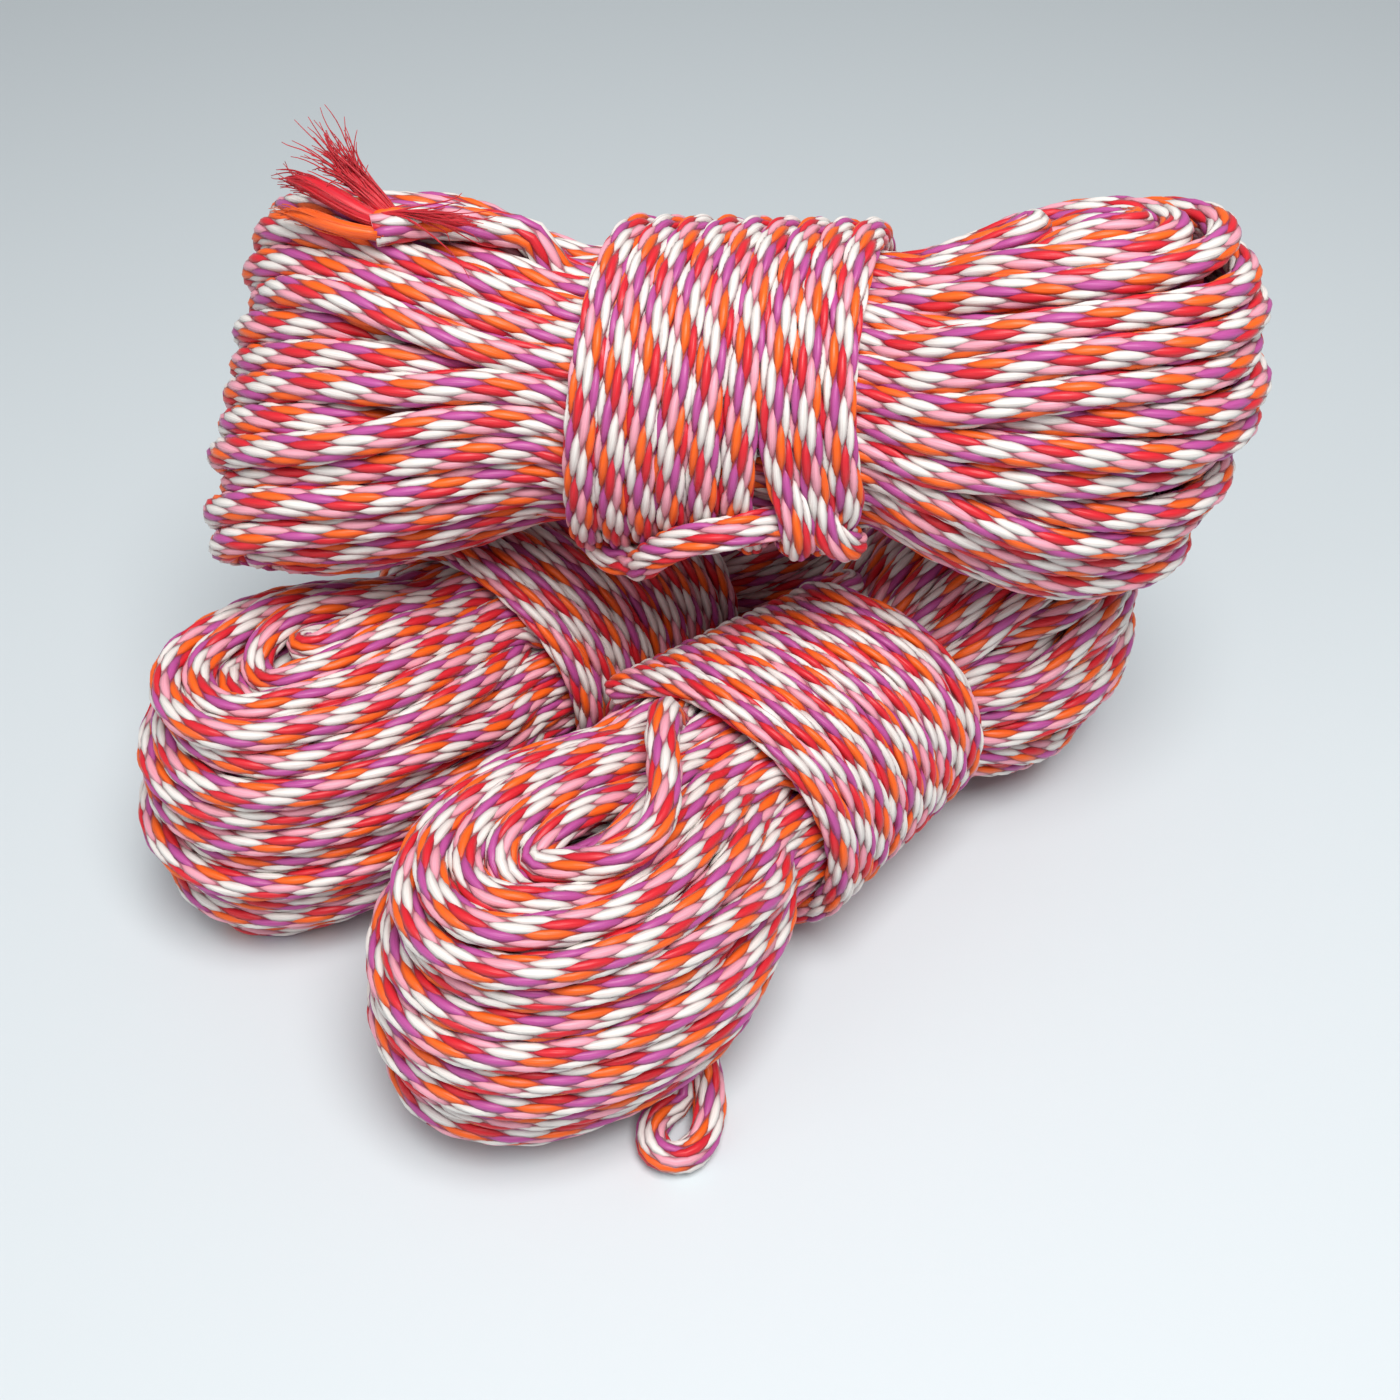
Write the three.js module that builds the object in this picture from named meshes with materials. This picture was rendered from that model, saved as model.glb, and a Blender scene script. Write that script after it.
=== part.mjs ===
// Three hanks of 1/4 in dock line: two side by side on the ground and one across them.
// Millimetres, +Z up. A hank is one rope wound in long oval loops, which open into a lobe at
// each end, and bound round its waist with turns of its own tail.
import * as THREE from "three";

// The rope, and the space left between pieces that touch.
const ropeDiameter = 6.35;
const gap = 0.3;

// Lengths below are in rope diameters, which ropes() turns into millimetres.
const ropes = (count) => count * ropeDiameter;

// The stack: the lower two hanks reach up to the plane that the upper one lies on.
const restingPlane = ropes(10.35);
const pairSpacing = ropes(10.1);
const pairShift = ropes(-1.2);
const lowerAzimuth = 42;
const upperAzimuth = -2;
const frontWaist = [ropes(1.43), ropes(-1.13), ropes(5.25)];
const topWaist = [ropes(-0.47), ropes(3.87), ropes(15.95)];

// A lobe's outline: how blunt its end is, how full its side, and how far it takes to swell.
const endFullness = 0.85;
const sideFullness = 0.7;
const swellLength = ropes(5.2);
const outlineSteps = 14;
const roundSteps = 28;

// Each hank's bundle radius at the waist, the length that is wrapped and its two lobes. A lobe
// reaches so far from the waist, and its middle drifts sideways and up from the hank's axis.
const hanks = {
  left: {
    bundleRadius: ropes(3.85),
    wrapLength: ropes(9.4),
    nearLobe: { reach: ropes(16.0), radius: ropes(6.2), drift: [ropes(0.4), ropes(-0.25)] },
    farLobe: { reach: ropes(14.4), radius: ropes(6.0), drift: [ropes(0.4), ropes(-0.35)] },
  },
  front: {
    bundleRadius: ropes(3.75),
    wrapLength: ropes(9.2),
    nearLobe: { reach: ropes(16.4), radius: ropes(6.3), drift: [ropes(-0.9), ropes(-0.25)] },
    farLobe: { reach: ropes(14.8), radius: ropes(6.0), drift: [ropes(-0.6), ropes(-0.35)] },
  },
  top: {
    bundleRadius: ropes(4.1),
    wrapLength: ropes(10.2),
    nearLobe: { reach: ropes(16.2), radius: ropes(5.9), drift: [0, ropes(-0.35)] },
    farLobe: { reach: ropes(15.6), radius: ropes(6.3), drift: [ropes(-0.3), ropes(-0.2)] },
  },
};

// A bight of the front hank's tail lies on the ground; its route runs beside the near lobe.
const tailSides = 10;
const bightRoute = [
  [-3.35, -10.0],
  [-4.0, -10.5],
  [-4.4, -11.25],
  [-4.15, -11.95],
  [-3.4, -12.1],
  [-2.8, -11.5],
  [-2.6, -10.5],
  [-2.6, -9.4],
];
const bightHeight = -4.69;
const bightSteps = 18;

// The top hank's tail runs along its near lobe to a cut, frayed end.
const tailRoute = [
  [-5.5, 0.3, 4.78],
  [-6.6, 0.3, 4.92],
  [-7.8, 0.2, 5.2],
  [-9.0, -0.1, 5.36],
  [-10.1, -0.5, 5.3],
];
const tailSteps = 8;
const frayLength = ropes(3.6);
const frayRadii = [ropes(0.42), ropes(0.72), ropes(0.16)];
const frayLean = 32;

const degrees = THREE.MathUtils.degToRad;

function cordMaterial(color) {
  return new THREE.MeshStandardMaterial({ color, roughness: 0.55, metalness: 0 });
}

const materials = {
  lobe: cordMaterial(0xd9626a),
  wraps: cordMaterial(0xe88a4a),
  tail: cordMaterial(0xf3b0c2),
  fray: cordMaterial(0xe43038),
};

function piece(name, geometry, material) {
  const mesh = new THREE.Mesh(geometry, material);
  mesh.name = name;
  return mesh;
}

// How far a lobe has swollen at a distance from the waist: 0 in the wraps, 1 at full size.
function swell(distance, hank) {
  const start = hank.wrapLength / 2;
  return THREE.MathUtils.smoothstep(distance, start, start + swellLength);
}

// A lobe is turned about the hank's axis, then shifted by its drift and pressed flat where it
// meets the ground, the upper or lower hanks, or its neighbour.
function lobeGeometry(hank, lobe, direction, limits) {
  const outline = [new THREE.Vector2(0, lobe.reach)];
  for (let step = 1; step <= outlineSteps; step += 1) {
    const turn = (step / outlineSteps) * (Math.PI / 2);
    const along = lobe.reach * Math.cos(turn) ** endFullness;
    const swollen = swell(along, hank);
    const radius = hank.bundleRadius + (lobe.radius - hank.bundleRadius) * swollen;
    outline.push(new THREE.Vector2(radius * Math.sin(turn) ** sideFullness, Math.max(along, gap / 2)));
  }
  outline.push(new THREE.Vector2(0, gap / 2));
  const geometry = new THREE.LatheGeometry(outline.reverse(), roundSteps);
  geometry.rotateZ(direction * -Math.PI / 2);
  const place = geometry.attributes.position;
  for (let i = 0; i < place.count; i += 1) {
    const swollen = swell(Math.abs(place.getX(i)), hank);
    const side = place.getY(i) + lobe.drift[0] * swollen;
    const height = place.getZ(i) + lobe.drift[1] * swollen;
    place.setY(i, THREE.MathUtils.clamp(side, ...limits.side));
    place.setZ(i, THREE.MathUtils.clamp(height, ...limits.height));
  }
  return geometry;
}

// The wraps are a ring with rounded edges, a rope thick, round the bundle.
function wrapsGeometry(hank) {
  const inner = hank.bundleRadius + gap;
  const outer = hank.bundleRadius + ropeDiameter;
  const half = hank.wrapLength / 2;
  const round = ropeDiameter / 2;
  const outline = [new THREE.Vector2(inner, -half)];
  for (const [edge, from] of [[-half + round, -90], [half - round, 0]]) {
    for (const turn of [0, 30, 60, 90]) {
      const angle = degrees(from + turn);
      outline.push(new THREE.Vector2(outer - round + round * Math.cos(angle), edge + round * Math.sin(angle)));
    }
  }
  outline.push(new THREE.Vector2(inner, half), new THREE.Vector2(inner, -half));
  return new THREE.LatheGeometry(outline, roundSteps).rotateZ(-Math.PI / 2);
}

// A stretch of loose rope: a round section carried along a smooth curve.
function ropeGeometry(points, steps) {
  const section = new THREE.Shape();
  for (let side = 0; side < tailSides; side += 1) {
    const angle = (side / tailSides) * 2 * Math.PI;
    const corner = [Math.cos(angle), Math.sin(angle)].map((value) => value * ropeDiameter / 2);
    if (side === 0) {
      section.moveTo(...corner);
    } else {
      section.lineTo(...corner);
    }
  }
  section.closePath();
  const curve = new THREE.CatmullRomCurve3(points.map((point) => new THREE.Vector3(...point)));
  return new THREE.ExtrudeGeometry(section, { steps, extrudePath: curve });
}

// The frayed end is one tapered tuft, narrow where it leaves the rope and at its tip.
function frayGeometry() {
  const outline = [
    new THREE.Vector2(0, 0),
    new THREE.Vector2(frayRadii[0], 0),
    new THREE.Vector2(frayRadii[1], frayLength * 0.6),
    new THREE.Vector2(frayRadii[2], frayLength),
    new THREE.Vector2(0, frayLength),
  ];
  return new THREE.LatheGeometry(outline, tailSides);
}

function hankGroup(name, waist, azimuth, limits) {
  const hank = hanks[name];
  const group = new THREE.Group();
  group.position.set(...waist);
  group.rotation.z = degrees(azimuth);
  for (const [end, direction] of [["near", -1], ["far", 1]]) {
    const geometry = lobeGeometry(hank, hank[`${end}Lobe`], direction, limits);
    group.add(piece(`${name}_hank_${end}_lobe`, geometry, materials.lobe));
  }
  group.add(piece(`${name}_hank_wraps`, wrapsGeometry(hank), materials.wraps));
  return group;
}

const along = new THREE.Vector2(Math.cos(degrees(lowerAzimuth)), Math.sin(degrees(lowerAzimuth)));
const leftWaist = [
  frontWaist[0] - along.y * pairSpacing + along.x * pairShift,
  frontWaist[1] + along.x * pairSpacing + along.y * pairShift,
  frontWaist[2],
];
const lowerHeights = [-frontWaist[2], restingPlane - gap / 2 - frontWaist[2]];
const facing = pairSpacing / 2 - gap / 2;

const leftHank = hankGroup("left", leftWaist, lowerAzimuth, {
  side: [-facing, Infinity],
  height: lowerHeights,
});
const frontHank = hankGroup("front", frontWaist, lowerAzimuth, {
  side: [-Infinity, facing],
  height: lowerHeights,
});
const topHank = hankGroup("top", topWaist, upperAzimuth, {
  side: [-Infinity, Infinity],
  height: [restingPlane + gap / 2 - topWaist[2], Infinity],
});

// The bight's route is given level with the ground, in the frame's own directions.
const bight = bightRoute.map(([x, y]) => [
  frontWaist[0] + ropes(x),
  frontWaist[1] + ropes(y),
  frontWaist[2] + ropes(bightHeight),
]);

const tail = tailRoute.map((point) => point.map(ropes));
topHank.add(piece("top_hank_tail", ropeGeometry(tail, tailSteps), materials.tail));

const fray = piece("top_hank_frayed_end", frayGeometry(), materials.fray);
const frayStep = 4 * gap + frayRadii[0] * Math.sin(degrees(frayLean));
fray.position.set(tail.at(-1)[0] - frayStep, tail.at(-1)[1], tail.at(-1)[2]);
fray.rotation.z = Math.PI / 2 - degrees(frayLean);
topHank.add(fray);

const dockLines = new THREE.Group();
dockLines.add(leftHank, frontHank, topHank);
dockLines.add(piece("front_hank_tail_bight", ropeGeometry(bight, bightSteps), materials.tail));

// The origin is on the ground under the middle of the stack.
dockLines.updateMatrixWorld(true);
const outside = new THREE.Box3().setFromObject(dockLines, true);
const middle = outside.getCenter(new THREE.Vector3());
dockLines.position.set(-middle.x, -middle.y, -outside.min.z);

export default dockLines;
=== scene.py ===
import math

import bpy
import numpy as np
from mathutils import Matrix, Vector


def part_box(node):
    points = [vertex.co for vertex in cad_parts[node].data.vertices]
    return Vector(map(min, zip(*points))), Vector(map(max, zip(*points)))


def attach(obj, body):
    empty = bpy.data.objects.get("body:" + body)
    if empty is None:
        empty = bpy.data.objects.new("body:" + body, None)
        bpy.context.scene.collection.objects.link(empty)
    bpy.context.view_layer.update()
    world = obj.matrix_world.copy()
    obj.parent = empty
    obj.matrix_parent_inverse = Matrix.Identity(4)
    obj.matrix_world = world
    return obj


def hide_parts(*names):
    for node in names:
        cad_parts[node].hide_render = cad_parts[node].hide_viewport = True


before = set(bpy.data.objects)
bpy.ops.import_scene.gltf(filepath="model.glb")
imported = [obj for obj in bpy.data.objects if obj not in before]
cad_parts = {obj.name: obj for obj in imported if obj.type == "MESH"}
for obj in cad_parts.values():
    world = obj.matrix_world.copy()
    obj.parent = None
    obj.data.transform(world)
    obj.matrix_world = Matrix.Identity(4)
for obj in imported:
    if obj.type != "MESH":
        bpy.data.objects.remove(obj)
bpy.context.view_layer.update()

camera = {
    "lookAt": (0.0053, -0.0184, 0.0508),
    "distance": 0.3207,
    "lookDown": 45.0,
    "fieldOfView": 47.0,
    "clipStart": 0.01,
}


def addCamera():
    # looks along +Y and down, straight at one point from a fixed distance
    down = math.radians(camera["lookDown"])
    eye = bpy.data.cameras.new("studioCamera")
    eye.angle = math.radians(camera["fieldOfView"])
    eye.clip_start = camera["clipStart"]
    holder = bpy.data.objects.new("studioCamera", eye)
    x, y, z = camera["lookAt"]
    back = camera["distance"] * math.cos(down)
    holder.location = (x, y - back, z + camera["distance"] * math.sin(down))
    holder.rotation_euler = (math.pi / 2 - down, 0, 0)
    bpy.context.collection.objects.link(holder)
    bpy.context.scene.camera = holder


addCamera()
print("camera placed")

# the rope: a solid braid of twelve columns of stitches. Only its diameter is in metres: the other
# lengths, here and in all that is laid out with this rope, are in rope widths
rope = {
    "diameter": 0.00635,
    "columns": 12,
    "pitch": 1.27,          # from one stitch to the next in a column
    "columnShift": 1 / 3,   # how far a stitch lies behind the one in the next column, in pitches
    "lean": 0.42,           # columns that a stitch leans over in one pitch
    "stitchHalf": 0.51,     # half a stitch's length, in pitches
    "stitchSide": 0.68,     # half its width, in columns
    "stitchTip": 0.65,      # how fast it narrows to its tips
    "crown": 0.52,          # from the middle of the rope to the top of a stitch
    "relief": 0.13,         # how far its crown stands above the groove
    "twist": 1 / 90,        # turns of the whole braid in one rope width
    "bakeRows": 20,         # strips that a piece of rope is cut into for its baked picture
    "bakeMargin": 0.03,     # left free at each edge of a strip
    "bakeCap": 0.0005,      # where its end faces lie in that picture
    "spacing": 0.5,         # between the points that are settled
}

# a rope is two pieces, end to end: its loops, and its turns round them, which show the most
ropeParts = {
    "loops": {"sides": 24, "rings": 4100},
    "turns": {"sides": 48, "rings": 2000},
}

# each hank lies along its own x axis, near lobe towards -x, with z up through the eyes of its lobes.
# heading turns it on the ground, and tilt tips its rows, from the near lobe to the far one. rows:
# loops side by side in each row, from the lowest up. laps: what is left off the first and the last
# loop. climb: 1 lays the lowest row first. bundle: the waist, from its middle to the outermost runs,
# and flare its cone. wrapHalf: half the length under turns, and swell what a lobe takes past it to
# reach its full size. reach, wide and high: that size. drift: how far the lobe is bent aside.
# endRound and lowEnd: how its end is rounded and slanted. loose: how uneven its loops are. eye: half
# the width of the innermost, eyeY its shift, and endStep how far each end lies inside the next one.
# low, top and side: what the hank is kept between. wrapEnds: where the turns start and end, and skew
# how far they lean there
hanks = {
    "front_hank": {
        "heading": 42, "tilt": (0, 0), "seed": 11,
        "rows": [3, 3, 3, 3, 3, 3, 3, 3, 4, 4, 4], "laps": (0.5, 0.75), "climb": 1,
        "bundle": 3.35, "flare": 0.45, "wrapHalf": 4.3, "swell": 4.6,
        "near": {"reach": 16.7, "wide": 5.8, "high": 4.9, "driftY": -0.9, "driftZ": -0.1, "endRound": 2.0,
                 "lowEnd": 0.4, "loose": 1.0, "eye": 1.3, "eyeY": 0.0, "endStep": 1.0},
        "far": {"reach": 15.1, "wide": 5.5, "high": 4.8, "driftY": -0.6, "driftZ": 0.0, "endRound": 2.2,
                "lowEnd": 0.0, "loose": 1.0, "eye": 0.8, "eyeY": 0.0, "endStep": 1.1},
        "low": -4.72, "top": 4.6, "side": (-99.0, 4.5),
        "turns": 9.2, "way": 1, "startAngle": 70, "wrapEnds": (4.3, -3.2), "skew": (0.6, 1.2),
    },
    "left_hank": {
        "heading": 42, "tilt": (0, 0), "seed": 23,
        "rows": [3, 3, 3, 3, 3, 3, 3, 3, 4, 4, 4], "laps": (0.0, 0.5), "climb": 1,
        "bundle": 3.35, "flare": 0.3, "wrapHalf": 4.4, "swell": 4.6,
        "near": {"reach": 16.5, "wide": 5.7, "high": 4.8, "driftY": 0.4, "driftZ": 0.0, "endRound": 2.0,
                 "lowEnd": 0.2, "loose": 1.0, "eye": 0.9, "eyeY": -1.4, "endStep": 1.0},
        "far": {"reach": 14.7, "wide": 5.4, "high": 4.7, "driftY": 0.4, "driftZ": 0.0, "endRound": 2.2,
                "lowEnd": 0.0, "loose": 1.0, "eye": 0.8, "eyeY": 0.0, "endStep": 1.1},
        "low": -4.72, "top": 4.6, "side": (-4.5, 99.0),
        "turns": 9.4, "way": 1, "startAngle": 70, "wrapEnds": (4.0, -3.7), "skew": (0.5, 1.0),
    },
    "top_hank": {
        "heading": -2, "tilt": (46, 6), "seed": 37,
        "rows": [3, 3, 3, 3, 3, 3, 3, 3, 3, 4, 4, 4], "laps": (0.0, 0.0), "climb": -1,
        "bundle": 3.6, "flare": 0.0, "wrapHalf": 4.9, "swell": 5.0,
        "near": {"reach": 15.9, "wide": 4.9, "high": 5.15, "driftY": 0.0, "driftZ": -0.2, "endRound": 0.4,
                 "lowEnd": 0.9, "loose": 0.5, "eye": 1.0, "eyeY": 0.3, "endStep": 0.45},
        "far": {"reach": 16.1, "wide": 5.6, "high": 5.5, "driftY": -0.3, "driftZ": -0.1, "endRound": 2.6,
                "lowEnd": -0.2, "loose": 0.7, "eye": 0.9, "eyeY": -0.3, "endStep": 1.1},
        "low": -5.05, "top": 99.0, "side": (-99.0, 99.0),
        "turns": 8.5, "way": -1, "startAngle": 250, "wrapEnds": (3.9, -3.3), "skew": (-1.1, -1.1),
    },
}
# a bight of the front hank's tail lies on the ground: level points from its waist, along the row's own axes
bight = {
    "route": [(-3.35, -10.0), (-4.0, -10.5), (-4.4, -11.25), (-4.15, -11.95), (-3.4, -12.1), (-2.8, -11.5),
              (-2.6, -10.5), (-2.6, -9.4)],
    "height": -4.69,
    "hiddenEnd": [(-6.2, -3.4, -3.9), (-7.3, -4.4, -4.5)],
    "intoWaist": [(-8.2, -3.9, -4.4), (-6.9, -2.3, -3.9), (-5.0, -1.5, -3.4)],
}
# the top hank's tail, from under its turns to the cut end, and the way it goes on beneath them
tail = {
    "route": [(-5.5, 0.3, 4.78), (-6.6, 0.3, 4.92), (-7.8, 0.2, 5.2), (-9.0, -0.1, 5.36), (-10.1, -0.5, 5.3)],
    "intoWaist": [(-4.3, 0.3, 3.8), (-3.0, 0.3, 3.2)],
}
# the front hank's last run lies over its near lobe, from the eye to its turns, and comes out beyond
# them. It is held in place up to where the turns cover it
lastRun = {
    "route": [(-11.2, -1.2, 4.4), (-10.4, -2.2, 4.65), (-9.5, -2.95, 4.9), (-8.4, -3.05, 5.1),
              (-7.4, -2.4, 5.2), (-6.6, -1.5, 5.2), (-5.9, -0.6, 5.2), (-4.9, 0.4, 5.0), (-4.1, 1.0, 4.4),
              (-3.2, 1.4, 3.5), (-2.0, 1.5, 3.0), (0.0, 1.5, 2.9), (3.6, 1.0, 3.1)],
    "held": 7,
}
# the top hank's last turn doubles back along the front of the others, under two that slant over it:
# x, degrees round the waist and distance from its middle, and the point that it is held from.
# slide and rise: how far a turn slants along the hank and stands out, by its number
tuck = {
    "route": [(-3.75, 35, 4.58), (-3.95, 5, 4.58), (-4.05, -28, 4.65), (-4.0, -50, 4.8), (-3.75, -63, 5.05),
              (-3.3, -66, 5.4), (-2.95, -54, 5.6), (-2.65, -38, 5.6), (-2.15, -25, 5.55), (-1.35, -18, 5.5),
              (-0.4, -15, 5.5), (0.5, -15, 5.3), (1.3, -17, 4.85), (2.0, -19, 4.65)],
    "held": 7,
    "slide": [(1.4, 0.0), (1.9, 1.5), (2.9, 1.35), (3.9, 0.7), (4.9, 0.25), (5.9, 0.0)],
    "rise": [(1.4, 0.0), (1.6, 1.0), (3.2, 1.0), (3.4, 0.0)],
    "slantGrows": (-55, 25),     # degrees over which the slant grows, counted down the front
    "slantFades": (-175, -95),   # and over which it fades again, counted up
    "radius": 4.55,              # of the turns that slant
}

waist = {
    "across": 0.86,         # between the runs of a row
    "up": 0.745,            # between the rows
    "aside": 0.2,           # how far the rows are shifted to one side
    "cells": 9,             # of the lattice, to each side of its middle
    "skewHalf": 4.3,        # how far out a leaning turn has its full skew
    "tipEnds": (-12, 12),   # a hank's tilt changes between these x
    "lobesFrom": 0.4,       # how far under the turns the lobes begin
    "turnPoints": 60,       # in one turn
    "turnRise": 0.95,       # from the outermost runs to the middle of the turns
}


def smoothStep(x, low, high):
    t = np.clip((x - low) / (high - low), 0, 1)
    return t * t * (3 - 2 * t)


def evenly(path, step):
    # the same line with its points an equal distance apart
    along = np.r_[0, np.cumsum(np.linalg.norm(np.diff(path, axis=0), axis=1))]
    at = np.linspace(0, along[-1], int(round(along[-1] / step)) + 1)
    return np.stack([np.interp(at, along, path[:, k]) for k in range(3)], 1)


def smoothCurve(p, at):
    # uniform cubic B-spline along the points, and its direction, at any place counted in points
    p = np.concatenate([2 * p[:1] - p[1:2], p, 2 * p[-1:] - p[-2:-1]])
    k = np.clip(np.floor(at).astype(int), 0, len(p) - 4)
    t = (at - k)[:, None]
    a, b, c, d = p[k], p[k + 1], p[k + 2], p[k + 3]
    place = ((1 - t) ** 3 * a + (3 * t ** 3 - 6 * t ** 2 + 4) * b
             + (-3 * t ** 3 + 3 * t ** 2 + 3 * t + 1) * c + t ** 3 * d) / 6
    heading = (-(1 - t) ** 2 * a + (3 * t ** 2 - 4 * t) * b + (-3 * t ** 2 + 2 * t + 1) * c + t ** 2 * d) / 2
    return place, heading / np.linalg.norm(heading, axis=1)[:, None]


def waistPlaces(hank):
    # places for the runs through the waist: the ones nearest the middle on a lattice of touching
    # circles, shared out by height, each row's outer places to its outer loops
    loops = sum(hank["rows"])
    cells = np.arange(-waist["cells"], waist["cells"] + 1)
    u, v = np.meshgrid(cells, cells)
    lattice = np.stack([(u + 0.5 * (v % 2)).ravel() * waist["across"] + waist["aside"],
                        v.ravel() * waist["up"]], 1)
    lattice = lattice[np.argsort(np.hypot(lattice[:, 0], lattice[:, 1]))[:2 * loops]]
    lattice = lattice[np.argsort(lattice[:, 1])]
    left, right = [], []
    start = 0
    for nest in hank["rows"]:
        row = lattice[start:start + 2 * nest]
        row = row[np.argsort(row[:, 0])]
        right.append(row[:nest])
        left.append(row[nest:][::-1])
        start += 2 * nest
    return left, right


def waistRadius(hank, x):
    # the middle of the outermost runs in the waist: a slight cone, wider towards the near lobe
    return hank["bundle"] - hank["flare"] * np.clip(x / hank["wrapHalf"], -1, 1)


def squared(hank, x, y):
    # x as it would be if the turns stood square to the hank, which lean with y
    skew = np.interp(x, (-hank["wrapHalf"], hank["wrapHalf"]), hank["skew"][::-1])
    return x + skew * np.clip(y / waist["skewHalf"], -1, 1)


def tipped(hank, x, y, z, way):
    # across the hank, its rows are tipped over by an angle that changes evenly from lobe to lobe
    tip = way * np.radians(np.interp(x, waist["tipEnds"], hank["tilt"]))
    return y * np.cos(tip) + z * np.sin(tip), z * np.cos(tip) - y * np.sin(tip)


def swelling(hank, x):
    # 0 under the turns, 1 where the lobe has its full size
    return smoothStep(x, hank["wrapHalf"] - waist["lobesFrom"], hank["wrapHalf"] + hank["swell"])


looping = {
    "lapPoints": 130,       # in one loop
    "ropeHalf": 0.5,        # a lobe's reach is to the outside of its rope
    "endPower": 0.85,       # below 1, the end of a loop is blunter than an ellipse's
    "sidePower": 0.7,       # and so are its sides
    "endCurve": 0.9,        # how much of a half circle the ends of the rows follow
    "sideCurve": 0.72,      # and how much of one their sides follow
    "leastWidth": 1.0,      # half the width of the narrowest loop
    "spread": {"reach": 0.3, "tilt": 0.28, "lift": 0.12, "wide": 0.18, "roll": 0.3},
    "tiltAxis": 10,         # a loop tilts about this x
    "tiltLength": 5,        # and has its full tilt this far from it
}


def loopRoute(hank):
    # every loop is one lap: out along one side of the waist, round the near lobe, back through the
    # waist on the other side and round the far lobe. Its outline is x = reach cos(a)^endPower and
    # y = width sin(a)^sidePower, drawn in to its place in the waist where x is small
    rng = np.random.default_rng(hank["seed"])
    rows = hank["rows"]
    loops = sum(rows)
    left, right = waistPlaces(hank)
    depth = np.concatenate([np.arange(n)[::(-1) ** k] for k, n in enumerate(rows)])
    inward = depth / np.repeat(np.array(rows) - 1, rows)
    height = np.repeat(np.linspace(-1, 1, len(rows)), rows)
    left = np.concatenate([place[::(-1) ** k] for k, place in enumerate(left)])
    right = np.concatenate([place[::(-1) ** k] for k, place in enumerate(right)])
    perLap = looping["lapPoints"]
    lap = np.arange(hank["laps"][0] * perLap, (loops - hank["laps"][1]) * perLap) / perLap
    loop = lap.astype(int)
    angle = math.pi / 2 + 2 * math.pi * lap
    c, s = np.cos(angle), np.sin(angle)
    onLeft = s >= 0
    side = np.where(onLeft, 1.0, -1.0)
    leaving = np.where(c < 0, loop, np.minimum(loop + 1, loops - 1))
    place = np.where(onLeft[:, None], left[leaving], right[loop])
    route = np.zeros((len(lap), 3))
    h = height[loop]
    inner = inward[loop]
    for name, mask in (("near", c < 0), ("far", c >= 0)):
        lobe = hank[name]
        vary = {key: rng.normal(0, spread * lobe["loose"], loops)[loop]
                for key, spread in looping["spread"].items()}
        reach = lobe["reach"] - looping["ropeHalf"] - depth[loop] * lobe["endStep"] + vary["reach"]
        ends = lobe["endRound"] * (1 - np.sqrt(1 - (looping["endCurve"] * h) ** 2))
        reach = reach - ends - lobe["lowEnd"] * h
        x = reach * np.sign(c) * np.abs(c) ** looping["endPower"]
        outer = lobe["wide"] * np.sqrt(1 - (looping["sideCurve"] * h) ** 2)
        width = np.maximum(outer + (lobe["eye"] - outer) * inner + vary["wide"], looping["leastWidth"])
        y = side * width * np.abs(s) ** looping["sidePower"] + lobe["eyeY"] * inner
        z = h * lobe["high"] + vary["lift"]
        tilt = vary["tilt"] * (np.abs(x) - looping["tiltAxis"]) / looping["tiltLength"]
        z = z + tilt + vary["roll"] * side * s ** 2
        blend = swelling(hank, np.abs(squared(hank, x, tipped(hank, x, y, z, 1)[0])))
        across = place[:, 0] + (y - place[:, 0]) * blend
        up = place[:, 1] + (z - place[:, 1]) * blend
        y, z = tipped(hank, x, across, up, 1)
        full = np.stack([x, y + lobe["driftY"] * blend, z + lobe["driftZ"] * blend], 1)
        route[mask] = full[mask]
    if hank["climb"] < 0:
        route = route[::-1]
    return route


def wrapRoute(hank):
    # turns side by side round the waist, from its far end to its near one: a circle carried along x,
    # leaning with its y
    t = np.linspace(0, hank["turns"], int(hank["turns"] * waist["turnPoints"]))
    angle = math.radians(hank["startAngle"]) + hank["way"] * 2 * math.pi * t
    middle = np.interp(t, (0, hank["turns"]), hank["wrapEnds"])
    x = middle + np.interp(t, (0, hank["turns"]), hank["skew"]) * np.cos(angle)
    radius = waistRadius(hank, middle) + waist["turnRise"]
    return np.stack([x, -radius * np.cos(angle), radius * np.sin(angle)], 1), t, angle


settling = {
    "rounds": 180,
    "refresh": 8,           # rounds from one search for neighbours to the next
    "search": 1.35,         # how far off a neighbour may be
    "apart": 3,             # points nearer along the rope than this are none
    "block": 1024,          # points that are searched at once
    "lobeGap": 0.96,        # least distance between two runs in a lobe,
    "waistGap": 0.8,        # in the waist, where they are squeezed,
    "wrapGap": 0.84,        # and between two turns
    "waistPast": 0.6,       # how far past the turns the waist's gap holds
    "shake": 0.03,          # keeps runs from starting out exactly on top of each other
    "straighten": 0.15,     # part of a bend that its own point takes back in a round
    "spreadBend": 0.03,     # and part that the points beside it take
    "mend": 0.175,          # part of a wrong length that each of its ends takes back
    "push": 1.3,            # above 1 it takes fewer rounds to part the runs
}


def closePairs(p, reach, apart):
    # pairs of points nearer than reach, counted along the rope at least apart points away
    q = p.astype(np.float32)
    square = (q * q).sum(1)
    first, second = [], []
    for start in range(0, len(q), settling["block"]):
        block = slice(start, start + settling["block"])
        distance = square[block, None] + square[None, :] - 2 * q[block] @ q.T
        a, b = np.nonzero(distance < reach * reach)
        a = a + start
        keep = b - a > apart
        first.append(a[keep])
        second.append(b[keep])
    return np.concatenate(first), np.concatenate(second)


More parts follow.
